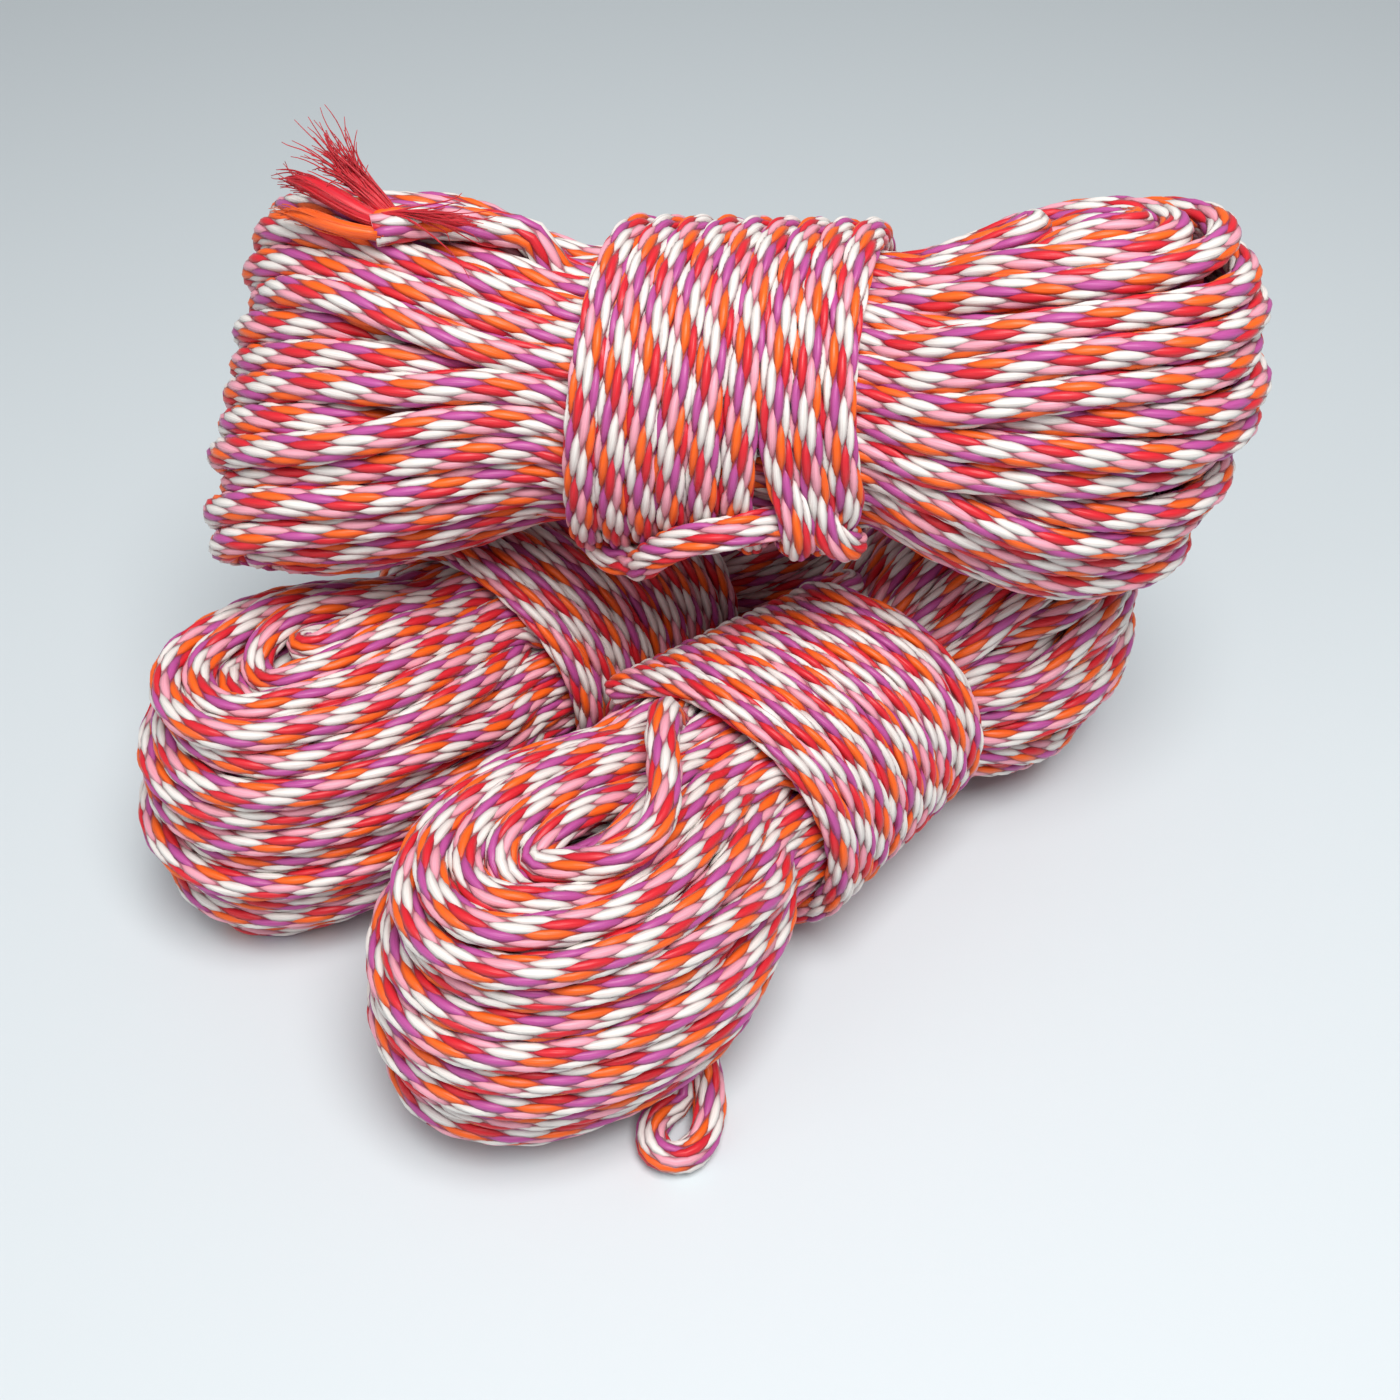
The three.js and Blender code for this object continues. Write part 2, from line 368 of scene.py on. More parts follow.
def pushApart(p, a, b, least):
    # every pair that is too close moves apart by half of what is missing, shared between its neighbours
    gap = p[a] - p[b]
    distance = np.linalg.norm(gap, axis=1)
    touching = distance < least
    a, b, gap, distance, least = a[touching], b[touching], gap[touching], distance[touching], least[touching]
    push = gap * ((least - distance) * 0.5 / np.maximum(distance, 1e-6))[:, None]
    count = np.bincount(a, minlength=len(p)) + np.bincount(b, minlength=len(p))
    for k in range(3):
        total = np.bincount(a, push[:, k], len(p)) - np.bincount(b, push[:, k], len(p))
        p[:, k] += settling["push"] * total / np.maximum(count, 1)


holding = {
    "openFrom": 0.2,        # past the turns, where the runs start to part
    "opening": 1.2,         # how steeply they may
    "openTo": 2.5,          # and how far past the turns this goes on
    "lobeFrom": 0.5,        # past the turns, where the outline of a lobe holds them
    "wideSlack": 0.1,
    "highSlack": 0.15,
    "lobePull": 0.5,        # part of what stands out that is taken back in a round
    "turnRise": 0.93,       # from the outermost runs to the tightest turn
    "turnSlack": 1.5,       # how far a turn may stand out from there
    "turnPull": 0.04,       # part of that which is taken back in a round
}


def holdInside(p, hank, wraps):
    # the runs stay inside the turns round them, the lobes inside their outline, and all of it above
    # what it lies on and beside its neighbour
    loops = ~wraps
    x = squared(hank, p[:, 0], p[:, 1])
    radius = np.hypot(p[:, 1], p[:, 2])
    past = np.maximum(np.abs(x) - hank["wrapHalf"] - holding["openFrom"], 0)
    hold = waistRadius(hank, x) + past * holding["opening"]
    over = loops & (radius > hold) & (np.abs(x) < hank["wrapHalf"] + holding["openTo"])
    p[over, 1:] *= (hold[over] / radius[over])[:, None]
    for name, sign in (("near", -1), ("far", 1)):
        lobe = hank[name]
        swell = swelling(hank, sign * x)
        wide = hank["bundle"] + (lobe["wide"] + holding["wideSlack"] - hank["bundle"]) * swell
        high = hank["bundle"] + (lobe["high"] + holding["highSlack"] - hank["bundle"]) * swell
        y = p[:, 1] - lobe["driftY"] * swell
        z = p[:, 2] - lobe["driftZ"] * swell
        across, up = tipped(hank, p[:, 0], y, z, -1)
        out = np.sqrt((across / wide) ** 2 + (up / high) ** 2)
        over = loops & (sign * x > hank["wrapHalf"] + holding["lobeFrom"]) & (out > 1)
        back = holding["lobePull"] * (1 / np.maximum(out, 1) - 1)
        p[over, 1] += (y * back)[over]
        p[over, 2] += (z * back)[over]
    p[:, 1] = np.clip(p[:, 1], *hank["side"])
    p[:, 2] = np.clip(p[:, 2], hank["low"], hank["top"])
    radius = np.hypot(p[wraps, 1], p[wraps, 2])
    tight = waistRadius(hank, x[wraps]) + holding["turnRise"]
    wanted = np.clip(radius, tight, tight + holding["turnSlack"])
    p[wraps, 1:] *= ((wanted + (tight - wanted) * holding["turnPull"]) / radius)[:, None]


def settle(p, hank, wraps, pinned):
    # position based settling: each round evens the bends and the lengths, then parts what touches
    rng = np.random.default_rng(hank["seed"] + 1)
    fixed = p[pinned].copy()
    p = p + rng.normal(0, settling["shake"], p.shape)
    rest = rope["spacing"]
    inner = hank["wrapHalf"] + settling["waistPast"]
    for k in range(settling["rounds"]):
        if k % settling["refresh"] == 0:
            a, b = closePairs(p, settling["search"], settling["apart"])
            inWaist = (np.abs(p[a, 0]) < inner) & (np.abs(p[b, 0]) < inner) & ~(wraps[a] | wraps[b])
            least = np.where(inWaist, settling["waistGap"], settling["lobeGap"])
            least[wraps[a] & wraps[b]] = settling["wrapGap"]
        bend = p[:-2] - 2 * p[1:-1] + p[2:]
        p[1:-1] += settling["straighten"] * bend
        p[2:-2] -= settling["spreadBend"] * (bend[:-2] + bend[2:])
        step = p[1:] - p[:-1]
        length = np.linalg.norm(step, axis=1)
        mend = step * ((length - rest) * settling["mend"] / length)[:, None]
        p[:-1] += mend
        p[1:] -= mend
        pushApart(p, a, b, least)
        pushApart(p, a, b, least)
        holdInside(p, hank, wraps)
        p[pinned] = fixed
    return p


laying = {
    "step": 0.1,            # between the points of a straight stretch that is held in place
    "curvePoints": 80,      # in a curved one
    "tuckPoints": 120,      # in the whole of the turn that doubles back
    "holdWithin": 0.15,     # a point this near to such a stretch is held in place too,
    "firstPoints": 200,     # if it is one of the first of the rope,
    "seamPoints": 60,       # or this near to where the turns begin or to the rope's end
    "wideGap": 0.6,         # points further apart than this get a spline between them
    "gapPoints": 8,         # with as many points, both ends counted
}


def turned(points, degrees):
    turn = math.radians(degrees)
    c, s = math.cos(turn), math.sin(turn)
    return [(x * c - y * s, x * s + y * c) for x, y in points]


def smoothRound(p):
    # the given points are far apart: a spline through them before they are spaced out
    gap = np.linalg.norm(np.diff(p, axis=0), axis=1)
    t = np.linspace(0, 1, laying["gapPoints"])[1:-1, None]
    out = []
    last = 0
    for k in np.flatnonzero(gap > laying["wideGap"]):
        before = p[max(k - 1, 0)]
        after = p[min(k + 2, len(p) - 1)]
        a, b = p[k], p[k + 1]
        inner = 0.5 * (2 * a + (b - before) * t + (2 * before - 5 * a + 4 * b - after) * t ** 2
                       + (3 * a - before - 3 * b + after) * t ** 3)
        out += [p[last:k + 1], inner]
        last = k + 1
    return np.concatenate(out + [p[last:]])


def heldCurve(points, first, last):
    return smoothCurve(points, np.linspace(first, last, laying["curvePoints"]))[0]


def slantOver(turns, t, angle):
    # two of the turns slant across the front and stand out over the doubled back end
    front = np.mod(angle + math.pi, 2 * math.pi) - math.pi
    up = np.degrees(front)
    slant = smoothStep(-up, *tuck["slantGrows"]) * smoothStep(up, *tuck["slantFades"])
    slide = np.interp(t, *np.transpose(tuck["slide"]))
    rise = np.interp(t, *np.transpose(tuck["rise"]))
    turns[:, 0] += slant * slide
    turns[:, 1:] *= (1 + slant * rise / tuck["radius"])[:, None]


def hankRoute(name, hank):
    # the parts of one rope in their order: what leads in, the loops, what leads on, and the turns
    turns, t, angle = wrapRoute(hank)
    leadIn, leadOut, held = np.zeros((0, 3)), np.zeros((0, 3)), np.zeros((0, 3))
    if name == "front_hank":
        level = [(x, y, bight["height"]) for x, y in turned(bight["route"][::-1], -hank["heading"])]
        leadIn = np.array(bight["hiddenEnd"] + level + bight["intoWaist"])
        leadOut = np.array(lastRun["route"])
        held = np.concatenate([evenly(np.array(level), laying["step"]),
                               heldCurve(leadOut, 0, lastRun["held"])])
    if name == "top_hank":
        leadIn = np.array(tail["route"][::-1] + tail["intoWaist"])
        ending = np.array([(x, -r * math.cos(math.radians(a)), r * math.sin(math.radians(a)))
                           for x, a, r in tuck["route"]])
        last = len(ending) - 1
        slantOver(turns, t, angle)
        turns = np.concatenate([turns, smoothCurve(ending, np.linspace(0, last, laying["tuckPoints"]))[0]])
        held = np.concatenate([evenly(np.array(tail["route"]), laying["step"]),
                               heldCurve(ending, tuck["held"], last)])
    loopPart = evenly(smoothRound(np.concatenate([leadIn, loopRoute(hank), leadOut])), rope["spacing"])
    path = np.concatenate([loopPart, evenly(turns, rope["spacing"])])
    index = np.arange(len(path))
    wraps = index >= len(loopPart)
    pinned = np.zeros(len(path), bool)
    if len(held):
        near = np.linalg.norm(path[:, None] - held[None], axis=2).min(1) < laying["holdWithin"]
        bySeam = abs(index - len(loopPart)) < laying["seamPoints"]
        byEnd = index > len(path) - laying["seamPoints"]
        pinned = near & ((index < laying["firstPoints"]) | bySeam | byEnd)
    return settle(path, hank, wraps, pinned), wraps


def placeHank(name, hank, p):
    # from the hank's own axes in rope widths to the row frame in metres
    low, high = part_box(name + "_wraps")
    middle = (np.array(low) + np.array(high)) / 2
    turn = math.radians(hank["heading"])
    x = p[:, 0] * math.cos(turn) - p[:, 1] * math.sin(turn)
    y = p[:, 0] * math.sin(turn) + p[:, 1] * math.cos(turn)
    return np.stack([x, y, p[:, 2]], 1) * rope["diameter"] + middle


section = {
    "look": 2.3,                # how far off a neighbour is counted
    "apart": 4,
    "fewest": 6,                # with fewer neighbours than this, the rope lies bare
    "lopsided": (0.35, 0.7),    # how far to one side they lie, on average, from buried to bare
    "smooth": 3,                # points to each side that are averaged
    "crowding": 4.5,            # how many more rings there are where the rope is bare
    "upright": (0.35, 0.8),     # the steepness at which the section's first direction changes
    "smoothTurn": 20,           # rings to each side over which it does
}


def averaged(values, reach):
    # the mean of each value and its neighbours up to reach away
    size = 2 * reach + 1
    return np.convolve(np.pad(values, reach, mode="edge"), np.ones(size) / size, "valid")


def showing(p):
    # 1 where the rope lies at the outside of its hank, 0 deep inside: there its neighbours lie all round it
    a, b = closePairs(p, section["look"], section["apart"])
    count = np.bincount(a, minlength=len(p)) + np.bincount(b, minlength=len(p))
    away = p[b] - p[a]
    pull = np.stack([np.bincount(a, away[:, k], len(p)) + np.bincount(b, -away[:, k], len(p))
                     for k in range(3)], 1)
    lopsided = np.linalg.norm(pull, axis=1) / np.maximum(count, 1)
    bare = smoothStep(lopsided, *section["lopsided"])
    return averaged(np.where(count < section["fewest"], 1.0, bare), section["smooth"])


def ringPlaces(p, count):
    # rings lie close together where the rope shows and far apart where it is buried
    density = 1 + section["crowding"] * showing(p)
    total = np.r_[0, np.cumsum((density[1:] + density[:-1]) / 2)]
    return np.interp(np.linspace(0, total[-1], count), total, np.arange(len(p)))


def ropeSections(local, firstTurn):
    # every ring's middle, its two directions and its distance from the start
    loopsAt = ringPlaces(local[:firstTurn + 1], ropeParts["loops"]["rings"])
    turnsAt = np.linspace(firstTurn, len(local) - 1, ropeParts["turns"]["rings"])
    place, heading = smoothCurve(local, np.concatenate([loopsAt, turnsAt[1:]]))
    along = np.r_[0, np.cumsum(np.linalg.norm(np.diff(place, axis=0), axis=1))]
    # the section's first direction: across the loops, and along the hank where the turns stand upright
    upright = averaged(smoothStep(np.abs(heading[:, 2]), *section["upright"]), section["smoothTurn"])[:, None]
    guide = np.array([0.0, 0.0, 1.0]) * (1 - upright) + np.array([1.0, 0.0, 0.0]) * upright
    first = np.cross(guide, heading)
    first /= np.linalg.norm(first, axis=1)[:, None]
    return place, first, np.cross(heading, first), along


def stitchHeight(across, along):
    # 0 in a groove to 1 on a crown: the highest of the stitches in this column and in the two beside it.
    # A stitch is a spindle: its half width is side (1 - (slide / half)^2)^tip
    best = np.full(across.shape, -1.0)
    for offset in (-1, 0, 1):
        column = np.floor(across) + offset
        place = along + rope["columnShift"] * column
        for end in (0, 1):
            slide = place - np.floor(place) - end
            side = across - column - 0.5 - rope["lean"] * slide
            taper = np.maximum(1 - (slide / rope["stitchHalf"]) ** 2, 0)
            width = rope["stitchSide"] * taper ** rope["stitchTip"]
            best = np.maximum(best, width ** 2 - side ** 2)
    return np.sqrt(np.maximum(best, 0)) / rope["stitchSide"]


def cornerGrid(u, v):
    # the four corners of each cell of a grid, from the values at its lower and upper edges
    return np.stack([np.stack([u[0], v[0]], 1), np.stack([u[1], v[0]], 1),
                     np.stack([u[1], v[1]], 1), np.stack([u[0], v[1]], 1)], 1)


def meshPiece(name, points, corners, sizes, layers):
    mesh = bpy.data.meshes.new(name)
    mesh.vertices.add(len(points))
    mesh.vertices.foreach_set("co", points.ravel())
    mesh.loops.add(len(corners))
    mesh.loops.foreach_set("vertex_index", corners.astype(np.int32))
    mesh.polygons.add(len(sizes))
    mesh.polygons.foreach_set("loop_start", np.r_[0, np.cumsum(sizes)[:-1]].astype(np.int32))
    mesh.polygons.foreach_set("use_smooth", np.ones(len(sizes), bool))
    mesh.update(calc_edges=True)
    mesh.validate()
    for label, values in layers.items():
        mesh.uv_layers.new(name=label).data.foreach_set("uv", values.ravel().astype(np.float32))
    piece = bpy.data.objects.new(name, mesh)
    bpy.context.collection.objects.link(piece)
    return piece


def ropeMesh(name, sections, sides, toRow):
    # a round section carried along the route, with every stitch raised; closed by a fan at each end
    place, first, second, along = sections
    count, columns = len(place), rope["columns"]
    turn = np.arange(sides) / sides
    pitches = along / rope["pitch"]
    grid = np.broadcast_to(pitches[:, None], (count, sides))
    height = stitchHeight(np.broadcast_to(turn * columns, grid.shape), grid)
    radius = rope["crown"] - rope["relief"] * (1 - height)
    angle = 2 * math.pi * (turn + along[:, None] * rope["twist"])[:, :, None]
    outward = first[:, None] * np.cos(angle) + second[:, None] * np.sin(angle)
    points = place[:, None] + outward * radius[:, :, None]
    points = np.concatenate([points.reshape(-1, 3), place[:1], place[-1:]])
    i, j = np.meshgrid(np.arange(count - 1), np.arange(sides), indexing="ij")
    i, j = i.ravel(), j.ravel()
    after = (j + 1) % sides
    quads = np.stack([i * sides + j, i * sides + after, (i + 1) * sides + after, (i + 1) * sides + j], 1)
    k = np.arange(sides)
    last = (count - 1) * sides
    startFan = np.stack([np.full(sides, count * sides), (k + 1) % sides, k], 1)
    endFan = np.stack([np.full(sides, count * sides + 1), last + k, last + (k + 1) % sides], 1)
    corners = np.concatenate([quads.ravel(), startFan.ravel(), endFan.ravel()])
    sizes = np.concatenate([np.full(len(quads), 4), np.full(2 * sides, 3)])
    braid = cornerGrid((j * columns / sides, (j + 1) * columns / sides), (pitches[i], pitches[i + 1]))
    fan = np.repeat(np.stack([k * columns / sides, np.full(sides, pitches[0])], 1), 3, axis=0)
    # for the baked picture the rope is cut into strips of equal length, laid side by side
    perRow = math.ceil((count - 1) / rope["bakeRows"])
    row = i // perRow
    band = 1 - 2 * rope["bakeMargin"]
    low = (row + rope["bakeMargin"] + band * j / sides) / rope["bakeRows"]
    high = low + band / sides / rope["bakeRows"]
    left = (i - row * perRow) / perRow
    bake = cornerGrid((low, high), (left, left + 1 / perRow))[:, :, ::-1]
    layers = {"braid": np.concatenate([braid.reshape(-1, 2), fan, fan]),
              "OFBake": np.concatenate([bake.reshape(-1, 2), np.full((6 * sides, 2), rope["bakeCap"])])}
    return meshPiece(name, toRow(points), corners, sizes, layers)


def feed(tree, socket, value):
    # a socket takes either a link or a plain value
    if isinstance(value, bpy.types.NodeSocket):
        tree.links.new(value, socket)
    else:
        socket.default_value = value


def mathNode(tree, kind, *values):
    node = tree.nodes.new("ShaderNodeMath")
    node.operation = kind
    for socket, value in zip(node.inputs, values):
        feed(tree, socket, value)
    return node.outputs[0]


def mixNode(tree, kind, factor, a, b):
    # a Mix node has a pair of inputs and an output for each kind of value
    node = tree.nodes.new("ShaderNodeMix")
    node.data_type = kind
    first, second, result = {"FLOAT": (2, 3, 0), "RGBA": (6, 7, 2)}[kind]
    for socket, value in ((0, factor), (first, a), (second, b)):
        feed(tree, node.inputs[socket], value)
    return node.outputs[result]


def newGroup(name, inputs, outputs, colors=()):
    # sockets hold a number each, but for the ones named in colors
    group = bpy.data.node_groups.new(name, "ShaderNodeTree")
    for way, labels in (("INPUT", inputs), ("OUTPUT", outputs)):
        for label in labels:
            kind = "NodeSocketColor" if label in colors else "NodeSocketFloat"
            group.interface.new_socket(label, in_out=way, socket_type=kind)
    entry = group.nodes.new("NodeGroupInput")
    leave = group.nodes.new("NodeGroupOutput")
    return group, entry.outputs, leave.inputs


def placeGroup(tree, group, **values):
    node = tree.nodes.new("ShaderNodeGroup")
    node.node_tree = group
    for label, value in values.items():
        feed(tree, node.inputs[label], value)
    return node.outputs


def stitchColumnGroup():
    # one column's higher stitch at this place: its height squared, its row and column, and the place
    # across it, from -1 to 1
    group, take, give = newGroup("stitchColumn", ["Across", "Along", "Offset"],
                                 ["Lift", "Row", "Column", "Thread"])
    column = mathNode(group, "ADD", mathNode(group, "FLOOR", take["Across"]), take["Offset"])
    place = mathNode(group, "MULTIPLY_ADD", column, rope["columnShift"], take["Along"])
    row = mathNode(group, "FLOOR", place)
    into = mathNode(group, "SUBTRACT", place, row)
    beside = mathNode(group, "SUBTRACT", mathNode(group, "SUBTRACT", take["Across"], column), 0.5)
    found = []
    for end in (0.0, 1.0):
        slide = mathNode(group, "SUBTRACT", into, end)
        side = mathNode(group, "MULTIPLY_ADD", slide, -rope["lean"], beside)
        part = mathNode(group, "DIVIDE", slide, rope["stitchHalf"])
        square = mathNode(group, "MULTIPLY", part, part)
        taper = mathNode(group, "MAXIMUM", mathNode(group, "MULTIPLY_ADD", square, -1.0, 1.0), 0.0)
        width = mathNode(group, "POWER", taper, rope["stitchTip"])
        width = mathNode(group, "MULTIPLY", width, rope["stitchSide"])
        lift = mathNode(group, "SUBTRACT", mathNode(group, "MULTIPLY", width, width),
                        mathNode(group, "MULTIPLY", side, side))
        thread = mathNode(group, "DIVIDE", side, mathNode(group, "ADD", width, threadNoise["tipWidth"]))
        found.append((lift, mathNode(group, "ADD", row, end), thread))
    later = mathNode(group, "GREATER_THAN", found[1][0], found[0][0])
    group.links.new(mathNode(group, "MAXIMUM", found[0][0], found[1][0]), give["Lift"])
    group.links.new(mixNode(group, "FLOAT", later, found[0][1], found[1][1]), give["Row"])
    group.links.new(column, give["Column"])
    group.links.new(mixNode(group, "FLOAT", later, found[0][2], found[1][2]), give["Thread"])
    return group


threadNoise = {
    "scale": 1.0,
    "detail": 2.0,
    "along": 1.3,           # how fast it changes along a yarn, against across it
    "seedStep": 3.71,       # from one stitch's noise to the next one's
    "tipWidth": 0.15,       # keeps the threads from running together at a stitch's tips
}


def filamentGroup():
    # fine threads that run along a yarn: noise drawn out along it, as a value from 0 to 1
    group, take, give = newGroup("filaments", ["Across", "Along", "Seed", "Count"], ["Threads"])
    noise = group.nodes.new("ShaderNodeTexNoise")
    noise.inputs["Scale"].default_value = threadNoise["scale"]
    noise.inputs["Detail"].default_value = threadNoise["detail"]
    vector = group.nodes.new("ShaderNodeCombineXYZ")
    group.links.new(mathNode(group, "MULTIPLY", take["Across"], take["Count"]), vector.inputs[0])
    group.links.new(mathNode(group, "MULTIPLY", take["Along"], threadNoise["along"]), vector.inputs[1])
    group.links.new(mathNode(group, "MULTIPLY", take["Seed"], threadNoise["seedStep"]), vector.inputs[2])
    group.links.new(vector.outputs[0], noise.inputs["Vector"])
    group.links.new(noise.outputs["Fac"], give["Threads"])
    return group


yarnColors = {
    "White": (0.83, 0.79, 0.74, 1),
    "Orchid": (0.49, 0.08, 0.31, 1),
    "Pink": (0.86, 0.37, 0.45, 1),
    "Red": (0.70, 0.015, 0.026, 1),
    "Orange": (0.94, 0.13, 0.005, 1),
}


def braidGroup(columnGroup):
    # picks the highest of three columns' stitches and colours it: white rows with every third stitch
    # orchid, and between them rows of pink, red and orange
    group, take, give = newGroup("braid", ["Across", "Along", *yarnColors],
                                 ["Color", "Height", "Thread", "Stitch"], ["Color", *yarnColors])
    best = None
    for offset in (0.0, -1.0, 1.0):
        found = placeGroup(group, columnGroup, Across=take["Across"], Along=take["Along"], Offset=offset)
        found = {key: found[key] for key in ("Lift", "Row", "Column", "Thread")}
        if best is None:
            best = found
        else:
            higher = mathNode(group, "GREATER_THAN", found["Lift"], best["Lift"])
            best = {key: mixNode(group, "FLOAT", higher, best[key], found[key]) for key in best}
    odd = mathNode(group, "FLOORED_MODULO", best["Row"], 2.0)
    third = mathNode(group, "FLOORED_MODULO", best["Column"], 3.0)
    isLast = mathNode(group, "GREATER_THAN", third, 1.5)
    isMiddle = mathNode(group, "GREATER_THAN", third, 0.5)
    evenRow = mixNode(group, "RGBA", isLast, take["White"], take["Orchid"])
    oddRow = mixNode(group, "RGBA", isMiddle, take["Pink"], take["Red"])
    oddRow = mixNode(group, "RGBA", isLast, oddRow, take["Orange"])
    height = mathNode(group, "SQRT", mathNode(group, "MAXIMUM", best["Lift"], 0.0))
    group.links.new(mixNode(group, "RGBA", odd, evenRow, oddRow), give["Color"])
    group.links.new(mathNode(group, "DIVIDE", height, rope["stitchSide"]), give["Height"])
    group.links.new(best["Thread"], give["Thread"])
    group.links.new(mathNode(group, "MULTIPLY_ADD", best["Row"], 7.0, best["Column"]), give["Stitch"])
    return group


# the satin of a man made yarn, and the colour of its painted shade, which darkens the grooves between the
# stitches and the streaks between its threads
yarn = {
    "paintedShadeColor": (0.30, 0.02, 0.05, 1),
    "roughness": 0.33,
    "roughnessSpread": 0.2,
    "sheen": 0.12,
    "sheenRoughness": 0.35,
    "specular": 0.45,
}
braided = {
    "grooveShadeDepth": 0.75,    # how dark the painted shade at the bottom of a groove is
    "grooveShadeFall": 1.9,      # how steeply the painted shade darkens towards there
    "threadRelief": 0.12,   # against the height of a stitch
    "threadsAcross": 5.0,
    # streaks of painted shade where the threads lie low: the thread level they start below, and how dark they
    # get
    "threadShadeBelow": 0.55,
    "threadShadeStrength": 0.7,
    "bumpStrength": 1.0,
}
combedOut = {
    "threadsAcross": 14.0,
    # streaks of painted shade where the threads lie low: the thread level they start below, and how dark they
    # get
    "threadShadeBelow": 0.6,
    "threadShadeStrength": 1.2,
    "bumpStrength": 0.8,
}


def yarnMaterial(name, uvName):
    # a new material, and the place across and along the yarn from its UV map
    material = bpy.data.materials.new(name)
    material.use_nodes = True
    tree = material.node_tree
    shader = tree.nodes["Principled BSDF"]
    shader.inputs["Sheen Weight"].default_value = yarn["sheen"]
    shader.inputs["Sheen Roughness"].default_value = yarn["sheenRoughness"]
    shader.inputs["Specular IOR Level"].default_value = yarn["specular"]
    uv = tree.nodes.new("ShaderNodeUVMap")
    uv.uv_map = uvName
    split = tree.nodes.new("ShaderNodeSeparateXYZ")
    tree.links.new(uv.outputs[0], split.inputs[0])
    return material, split.outputs[0], split.outputs[1]


def finishYarn(material, look, threads, color, height, relief):
    # streaks of painted shade between the threads, roughness from the threads, and a bump as high as relief,
    # in rope widths
    tree = material.node_tree
    shader = tree.nodes["Principled BSDF"]
    # painted shade: where the threads lie low, the colour is darkened towards the painted shade colour
    gap = mathNode(tree, "MAXIMUM", mathNode(tree, "SUBTRACT", look["threadShadeBelow"], threads), 0.0)
    threadShade = mathNode(tree, "MULTIPLY", gap, look["threadShadeStrength"])
    rough = mathNode(tree, "MULTIPLY_ADD", threads, yarn["roughnessSpread"], yarn["roughness"])
    tree.links.new(mixNode(tree, "RGBA", threadShade, color, yarn["paintedShadeColor"]), shader.inputs["Base Color"])
    tree.links.new(rough, shader.inputs["Roughness"])
    bump = tree.nodes.new("ShaderNodeBump")
    bump.inputs["Distance"].default_value = relief * rope["diameter"]
    bump.inputs["Strength"].default_value = look["bumpStrength"]
    tree.links.new(height, bump.inputs["Height"])
    tree.links.new(bump.outputs[0], shader.inputs["Normal"])


def braidMaterial(braid, filaments):
    material, across, along = yarnMaterial("braidedYarn", "braid")
    tree = material.node_tree
    found = placeGroup(tree, braid, Across=across, Along=along, **yarnColors)
    threads = placeGroup(tree, filaments, Across=found["Thread"], Along=along, Seed=found["Stitch"],
                         Count=braided["threadsAcross"])["Threads"]
    # painted shade: the lower the surface lies in a groove, the more it is darkened towards the painted shade
    # colour
    depth = mathNode(tree, "POWER", mathNode(tree, "SUBTRACT", 1.0, found["Height"]), braided["grooveShadeFall"])
    dark = mathNode(tree, "MULTIPLY", depth, braided["grooveShadeDepth"])
    shadedGrooves = mixNode(tree, "RGBA", dark, found["Color"], yarn["paintedShadeColor"])
    height = mathNode(tree, "MULTIPLY_ADD", threads, braided["threadRelief"], found["Height"])
    finishYarn(material, braided, threads, shadedGrooves, height, rope["relief"])
    return material


def looseMaterial(name, color, filaments):
    # combed out yarn: the same threads, with no stitches
    material, across, along = yarnMaterial(name, "thread")
    threads = placeGroup(material.node_tree, filaments, Across=across, Along=along, Seed=1.0,
                         Count=combedOut["threadsAcross"])["Threads"]
    finishYarn(material, combedOut, threads, color, threads, fray["thread"])
    return material


# the cut end is combed out into yarns: points from the end of the tail, in the top hank's own axes,
# the radius of the yarn at each, and how many of its threads stand loose, with how far they spread
fray = {
    "thread": 0.03,             # radius of a loose thread at its root
    "tip": 0.1,                 # its section at the tip, as a part of that
    "rings": 15,                # along each tube
    "bodySides": 12,            # of a yarn's tube, and of a thread's
    "threadSides": 4,
    "rooted": (0.8, 1.1),       # how far out a thread starts, against the yarn's radius
    "opening": 1.7,             # how late the threads part from their yarn
    "curl": 0.1,                # and how far they wave
    "waves": (1, 2.5),          # how fast, and
    "phases": (0, 6),           # from where
    "stretch": (0.75, 1.12),    # how long a thread is, against its yarn
    "ringsPerWidth": 6,
    "aside": (0.3, -0.9, 0.3),  # a direction that none of them runs along
    "seed": 5,
    "yarns": [
        {"color": "Red", "loose": 70, "spread": 0.13,
         "line": [(0.5, 0.1, 0.1), (-0.3, 0.15, 0.4), (-1.2, 0.55, 0.75),
                  (-2.0, 1.1, 0.85), (-2.55, 1.5, 0.7)],
         "radius": (0.18, 0.24, 0.27, 0.24, 0.1)},
        {"color": "Red", "loose": 120, "spread": 0.45,
         "line": [(0.7, 0.25, 0.1), (0.1, 0.5, 0.6), (-0.5, 0.9, 1.05),
                  (-1.0, 1.2, 1.45), (-1.3, 1.35, 1.65)],
         "radius": (0.2, 0.24, 0.17, 0.08, 0.02)},
        {"color": "Orange", "loose": 45, "spread": 0.09,
         "line": [(0.2, -0.3, 0.05), (-0.7, -0.3, 0.15), (-1.5, -0.05, 0.3),
                  (-2.2, 0.3, 0.35), (-2.7, 0.6, 0.2)],
         "radius": (0.16, 0.2, 0.2, 0.16, 0.05)},
        {"color": "Red", "loose": 26, "spread": 0.45,
         "line": [(0.2, 0.1, 0.42), (0.9, 0.05, 0.56), (1.7, -0.1, 0.5),
                  (2.5, -0.25, 0.42), (3.0, -0.35, 0.4)],
         "radius": (0.03, 0.03, 0.03, 0.03, 0.02)},
    ],
}
# four cornered faces that close a tube's end, by its number of sides
capFaces = {
    12: [[0, 1, 2, 3], [3, 4, 5, 6], [6, 7, 8, 9], [9, 10, 11, 0], [0, 3, 6, 9]],
    4: [[0, 1, 2, 3]],
}


